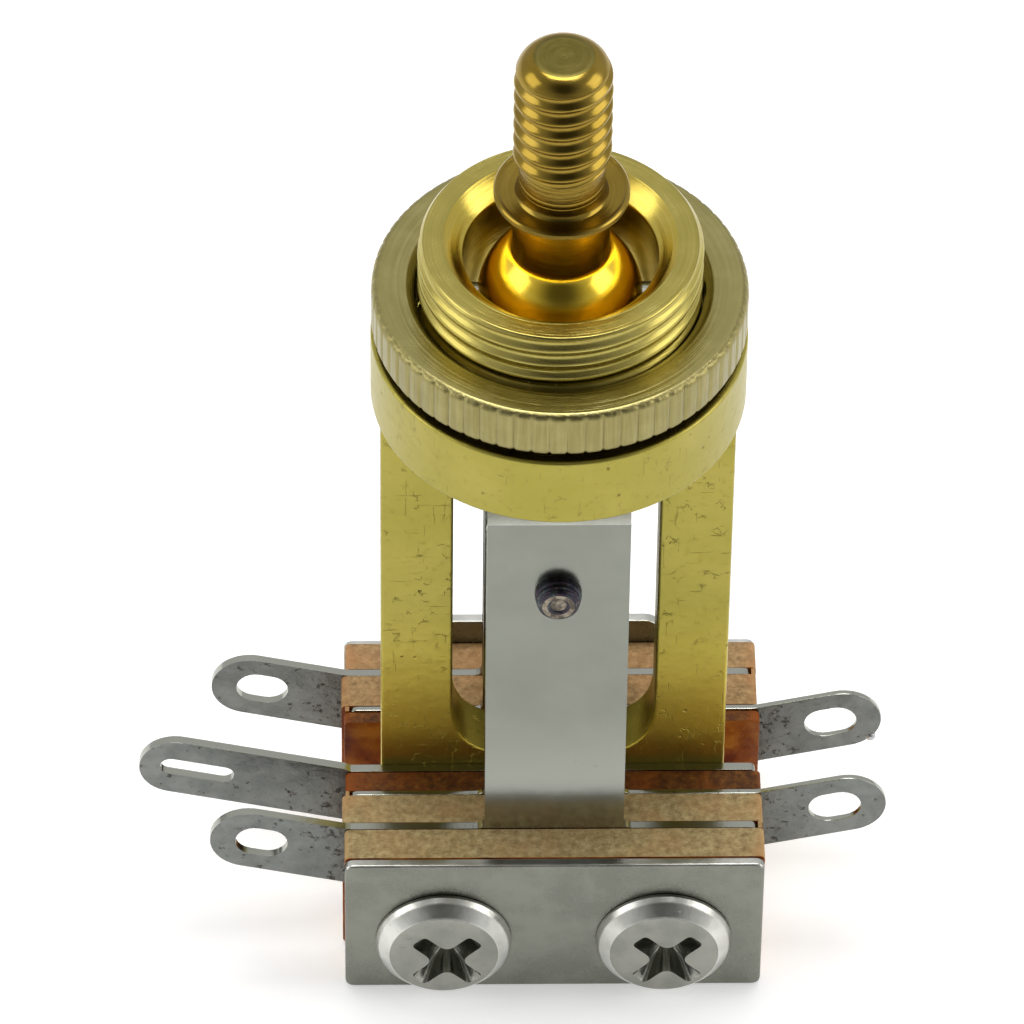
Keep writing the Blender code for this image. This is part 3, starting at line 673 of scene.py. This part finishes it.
def makeForging():
    low, high = boxOf("frame")
    bushingTop, collarRadius = high.z, high.x
    depth, edge = forging["collarDepth"], forging["collarEdge"]
    collar = lathe("switchFrame", soften([(0, -depth), (collarRadius, -depth, edge), (collarRadius, 0, edge),
                                          (forging["bushingRadius"] - 0.5, 0), (0, 0)], 4), 128)
    half, inner, sill = forging["plateHalf"], forging["windowHalf"], forging["sill"]
    foot, top, corner, sillCorner = low.z, -depth / 2, forging["footCorner"], forging["cornerRound"]
    outline = soften([(-half, top), (-half, foot, corner), (half, foot, corner), (half, top), (inner, top),
                      (inner, sill, sillCorner), (-inner, sill, sillCorner), (-inner, top)], 10, closed=True)
    halfThick = forging["plateHalfThick"]
    legs = sheetBlank("framePlate", outline, -halfThick, halfThick)
    breakEdges(legs, forging["plateEdge"], 2, 50)
    flare(legs, -depth, halfThick)
    carve(collar, legs, "UNION")
    rod = threadedRod("bushingThread", forging["bushingRadius"], forging["threadDepth"], forging["pitch"],
                      -0.8, bushingTop, 128)
    crown = lathe("bushingCrown", soften([(0, -1.2), (7, -1.2), (7, 4.2), (5.98, bushingTop - 0.42),
                                          (5.72, bushingTop, 0.12), (0, bushingTop)], 3), 128)
    carve(rod, crown, "INTERSECT")
    carve(collar, rod, "UNION")
    bore, mouth = forging["boreRadius"], forging["mouthRadius"]
    cut = bushingTop - forging["mouthDepth"]
    tool = lathe("boreTool", [(0, bushingTop + 0.6), (mouth + 0.62, bushingTop + 0.5),
                              (mouth + 0.10, bushingTop + 0.02), (mouth, bushingTop - 0.06),
                              (mouth - 0.22, bushingTop - 0.22), (bore + 0.24, cut + 0.16),
                              (bore + 0.04, cut), (bore, cut - 0.12), (bore, -depth - 0.25),
                              (bore + 0.3, -depth - 0.6), (0, -depth - 0.6)], 128)
    carve(collar, tool)
    carvePinHole(collar, 13)
    carve(collar, crossRods("plateHoles", screwSpots, layerHole))
    takeUp(collar)
    bpy.ops.object.mode_set(mode="EDIT")
    bpy.ops.mesh.select_all(action="DESELECT")
    bpy.ops.mesh.select_non_manifold()
    bpy.ops.mesh.fill_holes(sides=6)  # slivers where the thread runs out into the collar
    tidyMesh()
    evenShading(collar, 32)

    def which(centre, normal):
        radius = math.hypot(centre.x, centre.y)
        facesIn = normal.x * centre.x + normal.y * centre.y < 0
        inBore = radius < bore + 0.9 and (radius < bore + 0.05 or normal.z < 0.9) and centre.z > -depth + 0.02
        if inBore and facesIn:
            return 2
        return 1 if centre.z > -0.02 and radius < 7.6 else 0

    paint(collar, ["forgedBrass", "threadBrass", "boreBrass"], which)
    standFor(collar, "switch_frame", "forged_brass", "frame")


def flare(legs, level, half):  # the legs thicken softly where they meet the collar
    takeUp(legs)
    bpy.ops.object.mode_set(mode="EDIT")
    for drop, grow in ((0.60, 0), (0.42, 0.03), (0.26, 0.10), (0.12, 0.22), (0.0, 0.42)):
        bpy.ops.mesh.select_all(action="SELECT")
        bpy.ops.mesh.bisect(plane_co=(0, 0, level - drop), plane_no=(0, 0, 1), threshold=0.0001)
        if grow:
            pick(legs, "VERT", lambda v: abs(v.co.z - (level - drop)) < 0.001)
            bpy.ops.transform.resize(value=(1, (half + grow) / half, 1), center_override=(0, 0, 0))
    tidyMesh()


makeForging()
print("stage: frame forging")


# the knurled nut

nut = {"teeth": 65, "stepsPerTooth": 6, "grooveDepth": 0.07, "mouthWidth": 0.37, "mouthDrop": 0.2,
       "edge": 0.34}


def makeNut():
    low, high = boxOf("knurled_nut")
    radius, bottom, top, edge = high.x, low.z, high.z, nut["edge"]
    hole = forging["bushingRadius"] + clearance
    mouth, drop = hole + nut["mouthWidth"], nut["mouthDrop"]
    turns = [math.radians(a) for a in range(0, 91, 15)]
    roundTop = [(radius - edge + edge * math.cos(a), top - edge + edge * math.sin(a)) for a in turns]
    profile = ([(hole, bottom + 0.2), (hole + 0.2, bottom), (radius - edge, bottom),
                (radius - edge * 0.3, bottom + edge * 0.3), (radius, bottom + edge),
                (radius, (top + bottom) / 2)]
               + roundTop
               + [(mouth + 0.5, top), (mouth + 0.05, top), (mouth - 0.03, top - 0.03),
                  (hole + 0.06, top - drop + 0.02), (hole, top - drop - 0.06), (hole, bottom + 0.2)])
    made = lathe("knurledNut", profile, nut["teeth"] * nut["stepsPerTooth"])
    takeUp(made)
    bpy.ops.object.mode_set(mode="EDIT")
    pitch = 2 * math.pi / nut["teeth"]

    def inGroove(vert):  # the line of corners at the bottom of each groove
        if math.hypot(vert.co.x, vert.co.y) < radius - edge * 0.35:
            return False
        share = (math.atan2(vert.co.y, vert.co.x) / pitch) % 1
        return share < 0.04 or share > 0.96

    pick(made, "VERT", inGroove)
    inwards = 1 - nut["grooveDepth"] / radius
    bpy.ops.transform.resize(value=(inwards, inwards, 1), center_override=(0, 0, 0))
    tidyMesh()
    evenShading(made, 34)
    paint(made, ["nutBrass", "knurledBrass"],
          lambda centre, normal: math.hypot(centre.x, centre.y) > radius - edge * 0.9 and normal.z < 0.95)
    standFor(made, "nut", "forged_brass", "knurled_nut")


makeNut()
print("stage: nut")


# the lever

lever = {"ball": 3.48, "ballHeight": 1.9, "stem": 2.02, "flange": 2.82, "flangeBottom": 7.88,
         "flangeThick": 0.36, "neck": 1.79, "threadFrom": 10.1, "threadRadius": 2.04, "threadDepth": 0.24,
         "pitch": 0.794, "tail": 1.45, "tailBottom": -7.6, "filletArc": 5, "crownFlat": 1.02,
         "crownFall": 1.12, "crownRings": 7, "ringDepth": 0.012}


def makeLever():
    top, centre, ball = boxOf("lever")[1].z, lever["ballHeight"], lever["ball"]
    stem, neck, flange, rim = lever["stem"], lever["neck"], lever["flange"], lever["flangeBottom"]
    face = rim + lever["flangeThick"]

    def ballPoint(degrees):
        return ball * math.sin(math.radians(degrees)), centre + ball * math.cos(math.radians(degrees))

    joint = math.degrees(math.asin(stem / ball))
    tailJoint = 180 - math.degrees(math.asin(lever["tail"] / ball))
    arcFrom = joint + lever["filletArc"]
    curve = [ballPoint(arcFrom + (tailJoint - arcFrom) * step / 22) for step in range(23)]
    shoulder = curve[0][1]
    fillet = [(stem, shoulder + 0.46), (stem + 0.02, shoulder + 0.30), (stem + 0.08, shoulder + 0.14)]
    start = lever["threadFrom"]
    profile = ([(0, start + 0.8), (neck, start + 0.8), (neck, 9.0), (neck - 0.025, 8.94), (neck, 8.88),
                (neck, 8.70), (neck - 0.02, 8.65), (neck, 8.60), (neck, face + 0.12),
                (neck + 0.05, face - 0.04), (neck + 0.16, face - 0.14), (flange - 0.34, face - 0.13),
                (flange - 0.2, face - 0.05), (flange - 0.14, face), (flange - 0.06, face),
                (flange, face - 0.07), (flange, rim + 0.09), (flange - 0.07, rim + 0.02),
                (flange - 0.2, rim), (stem + 0.16, rim), (stem + 0.04, rim - 0.05), (stem, rim - 0.16)]
               + fillet + curve
               + [(lever["tail"], lever["tailBottom"] + 0.2), (lever["tail"] - 0.2, lever["tailBottom"]),
                  (0, lever["tailBottom"])])
    made = lathe("leverTurning", profile, 96)
    rod = threadedRod("leverThread", lever["threadRadius"], lever["threadDepth"], lever["pitch"],
                      start - 0.18, top, 96)
    flat, fall = lever["crownFlat"], lever["crownFall"]
    reach = lever["threadRadius"] - 0.02 - flat
    dome = [(2.6, top - 1.75), (2.035, top - 1.22)]
    dome += [(flat + reach * math.sin(math.radians(a)), top - fall * (1 - math.cos(math.radians(a))))
             for a in range(84, 0, -7)]
    rings = lever["crownRings"]
    for step in range(rings, 0, -1):  # the tool's rings on the flat of the crown
        dome += [(flat * step / rings, top), (flat * (step - 0.5) / rings, top - lever["ringDepth"])]
    runOut = [(0, start - 0.4), (1.86, start - 0.4), (1.86, start - 0.1), (3, start + 1.45)]
    crown = lathe("leverCrown", runOut + dome + [(0, top)], 96)
    carve(rod, crown, "INTERSECT")
    carve(made, rod, "UNION")
    carvePinHole(made, 9)
    evenShading(made, 32)

    def which(centre, normal):
        if centre.z < rim + 0.02:
            return 1
        return 2 if centre.z > top - 0.04 else 0

    # the ball takes the painted-light copy and the crown's flat top the painted-shade copy
    paint(made, ["leverBrass", "ballPaintedLightBrass", "crownPaintedShadeBrass"], which)
    standFor(made, "lever_assembly", "turned_brass", "lever")


makeLever()
print("stage: lever")


# the leaf springs, each one strip with its lug, and the ground lug

leaf = {"armHalf": 3.02, "rootFillet": 0.40, "edge": 0.045, "bend": 0.35, "hookReach": 2.6, "lugTilt": 14,
        "lugHalf": 1.7, "rootDrop": 1.72, "stripSetback": 0.25, "footCorner": 0.3, "tinFrom": 0.3,
        "eyeletHalf": (1.15, 0.85), "eyeletSetback": 0.55, "rivetHole": 0.52, "rows": 17, "rowStep": 0.45,
        "flexLength": 7}
groundLug = {"half": 1.6, "rootDrop": 1.5, "slotHalf": (1.65, 0.48), "slotSetback": 0.95, "endRound": 0.3,
             "edge": 0.06}
solderDrip = {"radius": 0.24, "angle": -42}
# name: side of the lug, lug reach, arm top, hooked
leaves = {
    "front_outer": (-1, 4.15, -5.95, True),
    "front_inner": (1, 3.75, -8.7, False),
    "rear_inner": (1, 3.75, -8.7, False),
    "rear_outer": (-1, 4.15, -5.95, True),
}


# the tilted round-ended lug on the +X side, from its lower root to its upper one, and its end's middle
def lugPoints(reach, half, drop):
    tilt = math.radians(leaf["lugTilt"])
    root = stackTop - drop
    tip = (stackHalf + reach, root + reach * math.tan(tilt))
    spread = half / math.cos(tilt)
    turn = [tilt - math.pi / 2 + math.pi * step / 24 for step in range(25)]
    arc = [(tip[0] + half * math.cos(a), tip[1] + half * math.sin(a)) for a in turn]
    return [(stackHalf, root - spread)] + arc + [(stackHalf, root + spread)], tip


def eyelet(name, side, tip, setback, halfLength, halfWidth, front, back):
    tilt = math.radians(leaf["lugTilt"])
    middle = (tip[0] - setback * math.cos(tilt), tip[1] - setback * math.sin(tilt))
    straight = halfLength - halfWidth
    outline = []
    for start, sign in ((-90, 1), (90, -1)):
        for step in range(13):
            a = math.radians(start + 15 * step)
            x, z = sign * straight + halfWidth * math.cos(a), halfWidth * math.sin(a)
            outline.append((side * (middle[0] + x * math.cos(tilt) - z * math.sin(tilt)),
                            middle[1] + x * math.sin(tilt) + z * math.cos(tilt)))
    return sheetBlank(name, outline, front - 1, back + 1)


def splitLug(side):  # a line of corners where the tinned lug leaves the stack
    bpy.ops.mesh.select_all(action="SELECT")
    bpy.ops.mesh.bisect(plane_co=(side * (stackHalf - leaf["tinFrom"]), 0, 0), plane_no=(1, 0, 0),
                        threshold=0.00001)


def isTinned(centre, normal):
    return abs(centre.x) > stackHalf - leaf["tinFrom"] and abs(normal.y) > 0.6


def makeLeaf(name, side, reach, armTop, hooked):
    low, high = boxOf(name + "_terminal")
    front, back = low.y, high.y
    thick = back - front
    lug, tip = lugPoints(reach, leaf["lugHalf"], leaf["rootDrop"])
    end = stackHalf - leaf["stripSetback"]
    foot, corner = low.z, leaf["footCorner"]
    inward = 1 if front < 0 else -1
    top = armTop - (leaf["bend"] + thick if hooked else 0)
    arm, fillet = leaf["armHalf"], leaf["rootFillet"]
    armRound = 0.02 if hooked else 0.35
    outline = ([(-end, foot, corner), (end, foot, corner), (end, lug[0][1])] + lug
               + [(end, stackTop), (arm, stackTop, fillet), (arm, top, armRound), (-arm, top, armRound),
                  (-arm, stackTop, fillet), (-end, stackTop, 0.35)])
    outline = [(side * x, z) for x, z in soften(outline, 5, closed=True)]
    made = sheetBlank(name + "_leaf", outline, front, back)
    if hooked:
        bpy.ops.object.mode_set(mode="EDIT")
        pick(made, "FACE", lambda f: f.normal.z > 0.9 and f.calc_center_median().z > top - 0.05)
        inner = back if inward > 0 else front
        bpy.ops.mesh.spin(steps=7, angle=math.pi / 2, center=(0, inner + inward * leaf["bend"], top),
                          axis=(inward, 0, 0))
        run = abs(inner) - leaf["bend"] - leaf["hookReach"]
        bpy.ops.mesh.extrude_region_move(TRANSFORM_OT_translate={"value": (0, inward * run, 0)})
        tidyMesh()
    carve(made, eyelet("eyeletTool", side, tip, leaf["eyeletSetback"], *leaf["eyeletHalf"], front, back))
    carve(made, crossRods("leafHoles", screwSpots, layerHole))
    contactLow, contactHigh = boxOf(name + "_contact")
    contactSpot = (0, (contactLow.z + contactHigh.z) / 2)
    carve(made, crossRods("contactHole", [contactSpot], leaf["rivetHole"], steps=24))
    breakEdges(made, leaf["edge"], 2, 40)
    takeUp(made)
    bpy.ops.object.mode_set(mode="EDIT")
    for step in range(leaf["rows"]):  # rows of corners, so that the arm bends smoothly
        bpy.ops.mesh.select_all(action="SELECT")
        bpy.ops.mesh.bisect(plane_co=(0, 0, stackTop + 0.02 + leaf["rowStep"] * step), plane_no=(0, 0, 1),
                            threshold=0.00001)
    splitLug(side)
    tidyMesh()
    evenShading(made, 40)
    bendFrom = armTop - leaf["bend"] - thick
    # faces above the bend's start take the painted highlight
    paint(made, ["nickelSilver", "tinnedLug", "paintedHighlightBend"],
          lambda centre, normal: 2 if centre.z > bendFrom else isTinned(centre, normal))
    toMetres(made)
    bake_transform(made)
    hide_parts(name + "_terminal", name + "_blade")


def makeGroundLug():
    low, high = boxOf("ground_lug")
    reach = -low.x - stackHalf - groundLug["half"]
    lug, tip = lugPoints(reach, groundLug["half"], groundLug["rootDrop"])
    end = stackHalf - leaf["stripSetback"]
    corner = leaf["footCorner"]
    outline = ([(-end, low.z, corner), (end, low.z, corner), (end, lug[0][1])] + lug
               + [(end, stackTop), (-end, stackTop, groundLug["endRound"])])
    outline = [(-x, z) for x, z in soften(outline, 5, closed=True)]
    made = sheetBlank("groundLug", outline, low.y, high.y)
    carve(made, eyelet("slotTool", -1, tip, groundLug["slotSetback"], *groundLug["slotHalf"], low.y, high.y))
    carve(made, crossRods("groundHoles", screwSpots, layerHole))
    breakEdges(made, groundLug["edge"], 2, 40)
    takeUp(made)
    bpy.ops.object.mode_set(mode="EDIT")
    splitLug(-1)
    tidyMesh()
    evenShading(made, 40)
    paint(made, ["nickelSilver", "tinnedLug"], isTinned)
    standFor(made, "switch_frame", "tinned_lug", "ground_lug")


def makeSolderDrip():  # a small drip left hanging on the rear inner lug
    low, high = boxOf("rear_inner_terminal")
    tip = lugPoints(leaves["rear_inner"][1], leaf["lugHalf"], leaf["rootDrop"])[1]
    size, half = solderDrip["radius"], leaf["lugHalf"]
    bead = [(size * math.sin(math.radians(a)), -size * math.cos(math.radians(a))) for a in range(20, 121, 20)]
    made = lathe("solderDrip", [(0, -size)] + bead
                 + [(size * 0.55, size * 1.1), (size * 0.3, size * 1.6), (0, size * 1.8)], 24)
    across = math.radians(solderDrip["angle"])
    spot = (tip[0] + half * math.cos(across), (low.y + high.y) / 2, tip[1] + half * math.sin(across))
    turnTo(made, (0, math.radians(-40), 0), spot)
    evenShading(made, 60)
    paint(made, ["brightSolder"])
    standFor(made, "switch_frame", "tinned_lug")


for name, facts in leaves.items():
    makeLeaf(name, *facts)
makeGroundLug()
makeSolderDrip()
print("stage: leaves and lugs")


# the contact rivets

rivet = {"grooveDepth": 0.07, "waist": 0.9}


def makeRivet(name):
    low, high = boxOf(name + "_contact")
    leafLow, leafHigh = boxOf(name + "_terminal")
    radius = (high.x - low.x) / 2
    middle = (leafLow.y + leafHigh.y) / 2
    half = (leafHigh.y - leafLow.y) / 2 + 0.015
    outer = name.endswith("outer")
    front = name.startswith("front")
    toFront = front == outer  # which way the riveted tail points
    tail = (middle - low.y if toFront else high.y - middle) - half
    button = (high.y - middle if toFront else middle - low.y) - half
    if outer:
        groove, end = rivet["grooveDepth"], half + tail
        tailLine = [(0, end - 0.10), (radius * 0.34, end - 0.12), (radius * 0.48, end - 0.02),
                    (radius * 0.70, end), (radius * 0.84, end - 0.09), (radius * 0.88, half + tail * 0.80),
                    (radius * 0.88 - groove, half + tail * 0.70), (radius * 0.93, half + tail * 0.60),
                    (radius * 0.94, half + tail * 0.46), (radius * 0.94 - groove, half + tail * 0.38),
                    (radius * 0.98, half + tail * 0.28), (radius, half + tail * 0.10), (radius * 0.985, half)]
    else:
        tailLine = [(0, half + tail), (radius * 0.5, half + tail), (radius * 0.82, half + tail * 0.8),
                    (radius * 0.97, half + tail * 0.4), (radius, half)]
    waist = radius * rivet["waist"]
    profile = tailLine + [(radius / 2, half), (radius / 2, -half), (waist, -half),
                          (waist, -half - button * 0.45), (waist * 0.9, -half - button * 0.75),
                          (waist * 0.6, -half - button * 0.95), (0, -half - button)]
    made = lathe(name + "_rivet", profile, 48)
    turnTo(made, (math.pi / 2 if toFront else -math.pi / 2, 0, 0), (0, middle, (low.z + high.z) / 2))
    evenShading(made, 38)
    tailSide = -1 if toFront else 1
    tailEnd = low.y if toFront else high.y
    paint(made, ["tarnishedRivet", "rivetEnd"],
          lambda centre, normal: normal.y * tailSide > 0.95 and abs(centre.y - tailEnd) < 0.3)
    standFor(made, name + "_spring", "contact_alloy", name + "_contact")


for name in leaves:
    makeRivet(name)
print("stage: contacts")


# the insulators and clamp plates

# how far each block stands out past the stack's sides and top (left, right, up), and its edge's finish
insulators = {
    # the two inner blocks take the painted-shade edge
    "front_inner_insulator": (-0.05, -0.02, -0.03, "phenolicPaintedShade"),
    "front_middle_insulator": (0.10, 0.0, 0.0, "phenolicEdge"),
    "front_outer_insulator": (0.0, 0.03, 0.0, "phenolicEdge"),
    "rear_inner_insulator": (0.0, 0.06, -0.08, "phenolicPaintedShade"),
    "rear_middle_insulator": (0.12, -0.02, 0.0, "phenolicPink"),
    "rear_outer_insulator": (-0.04, 0.0, 0.0, "phenolicPink"),
}
# the block that closes the gap past each strip's plain end, and the side that end is on
lips = {"front_middle_insulator": [("front_outer_terminal", 1), ("front_inner_terminal", -1)],
        "rear_middle_insulator": [("rear_outer_terminal", 1), ("rear_inner_terminal", -1)]}
block = {"corner": 0.26, "edge": 0.045}
clamp = {"corner": 0.42, "edge": 0.12, "rise": 1.35, "riseHalf": 4.75, "shoulderDrop": 0.35, "hole": 1.48}


def makeInsulator(name, left, right, up, edgeFinish):
    low, high = boxOf(name)
    c = block["corner"]
    outline = soften([(low.x - left, low.z, c), (high.x + right, low.z, c), (high.x + right, high.z + up, c),
                      (low.x - left, high.z + up, c)], 5, closed=True)
    made = sheetBlank(name + "_block", outline, low.y, high.y)
    inner, outer = stackHalf - leaf["stripSetback"] + 0.03, stackHalf - 0.05
    bottom, top, middle = low.z + 0.3, high.z - 0.03, (low.y + high.y) / 2
    for leafName, side in lips.get(name, ()):
        leafLow, leafHigh = boxOf(leafName)
        outline = [(side * inner, bottom), (side * outer, bottom), (side * outer, top), (side * inner, top)]
        carve(made, sheetBlank("blockLip", outline, min(leafLow.y, middle), max(leafHigh.y, middle)), "UNION")
    carve(made, crossRods("blockHoles", screwSpots, layerHole))
    breakEdges(made, block["edge"], 2, 45)
    evenShading(made, 40)
    paint(made, [edgeFinish, "phenolicFace"], lambda centre, normal: abs(normal.y) > 0.8)
    standFor(made, "switch_frame", "phenolic", name)


def makeClamp(name):
    low, high = boxOf(name)
    c = clamp["corner"]
    if name.startswith("rear"):
        rise, half = clamp["rise"], clamp["riseHalf"]
        shoulder = stackTop - clamp["shoulderDrop"]
        outline = [(low.x, low.z, c), (high.x, low.z, c), (high.x, shoulder, c), (half + 0.3, shoulder, 0.4),
                   (half, stackTop + rise, 0.7), (-half, stackTop + rise, 0.7), (-half - 0.3, shoulder, 0.4),
                   (low.x, shoulder, c)]
    else:
        outline = [(low.x, low.z, c), (high.x, low.z, c), (high.x, high.z, c), (low.x, high.z, c)]
    made = sheetBlank(name + "_sheet", soften(outline, 5, closed=True), low.y, high.y)
    carve(made, crossRods("clampHoles", screwSpots, clamp["hole"]))
    breakEdges(made, clamp["edge"], 3, 45)
    evenShading(made, 40)
    # the plate's upward faces take the painted highlight
    paint(made, ["nickelPlate", "paintedHighlightPlate"], lambda centre, normal: normal.z > 0.4)
    standFor(made, "switch_frame", "nickel_steel", name)


for name, facts in insulators.items():
    makeInsulator(name, *facts)
makeClamp("front_clamp_plate")
makeClamp("rear_clamp_plate")
print("stage: stack")


# the stack screws

screw = {"headRadius": 2.97, "faceRadius": 2.2, "headHeight": 0.95, "shank": 1.4, "recessSpan": 1.80,
         "recessSlot": 0.42, "lobe": 0.50, "tipRound": 0.26, "recessShift": (0.14, -0.30),
         "recessSteps": ((0.84, 0.4), (0.76, 0.5), (0.34, 0.35))}


def makeScrew(word):
    low, high = boxOf(word + "_stack_screw")
    length = high.y - low.y
    height, face, radius, shank = (screw[k] for k in ("headHeight", "faceRadius", "headRadius", "shank"))
    end = height - length
    profile = soften([(0, height), (face - 0.15, height), (face + 0.18, height - 0.07, 0.3),
                      (radius - 0.12, height * 0.45, 0.4), (radius, 0.16, 0.1), (radius, 0.02),
                      (radius - 0.06, 0.0), (shank, 0.0), (shank, end + 0.3), (shank - 0.3, end), (0, end)], 6)
    made = lathe(word + "_screw", profile, 72)
    span, slot, lobe, tip = (screw[k] for k in ("recessSpan", "recessSlot", "lobe", "tipRound"))
    cross = [(slot, -span, tip), (slot, -slot, lobe), (span, -slot, tip), (span, slot, tip),
             (slot, slot, lobe), (slot, span, tip), (-slot, span, tip), (-slot, slot, lobe),
             (-span, slot, tip), (-span, -slot, tip), (-slot, -slot, lobe), (-slot, -span, tip)]
    tool = drawLine(word + "Recess", [(x, y, height + 0.12) for x, y in soften(cross, 6, closed=True)])
    bpy.ops.mesh.select_all(action="SELECT")
    bpy.ops.mesh.edge_face_add()
    bpy.ops.mesh.extrude_region_move(TRANSFORM_OT_translate={"value": (0, 0, -0.12)})
    for share, drop in screw["recessSteps"]:  # the recess narrows as it goes down
        bpy.ops.mesh.extrude_region_move(TRANSFORM_OT_translate={"value": (0, 0, -drop)})
        bpy.ops.transform.resize(value=(share, share, 1), center_override=(0, 0, 0))
    tidyMesh()
    turnTo(tool, (0, 0, math.pi / 4), (*screw["recessShift"], 0))
    carve(made, tool)
    breakEdges(made, 0.03, 2, 50)
    evenShading(made, 40)
    x, z = (low.x + high.x) / 2, (low.z + high.z) / 2
    turnTo(made, (math.pi / 2, 0, 0), (x, low.y + height, z))
    # the head's rim takes the painted highlight
    paint(made, ["screwPlate", "paintedHighlightPlate"],
          lambda centre, normal: normal.y > -0.9 and math.hypot(centre.x - x, centre.z - z) > face - 0.1)
    standFor(made, "switch_frame", "nickel_steel", word + "_stack_screw")


makeScrew("left")
makeScrew("right")
print("stage: screws")


# the frame nodes that stay, and the floor

kept = {"pivot_pin": "nickelPlate", "left_screw_sleeve": "phenolicFace", "right_screw_sleeve": "phenolicFace",
        "lever_actuator": "mouldedNylon"}
for name, finish in kept.items():
    nodes[name].data.materials.clear()
    nodes[name].data.materials.append(finishes[finish])

deselectAll()
bpy.ops.mesh.primitive_plane_add(size=6, location=(0, 0, stackBottom * shrink))
floor = bpy.context.object
floor.name = "floor"
bpy.ops.object.transform_apply(location=True, rotation=True, scale=True)
floor.data.materials.append(paleFloor())
print("stage: floor")

print("stage: done")
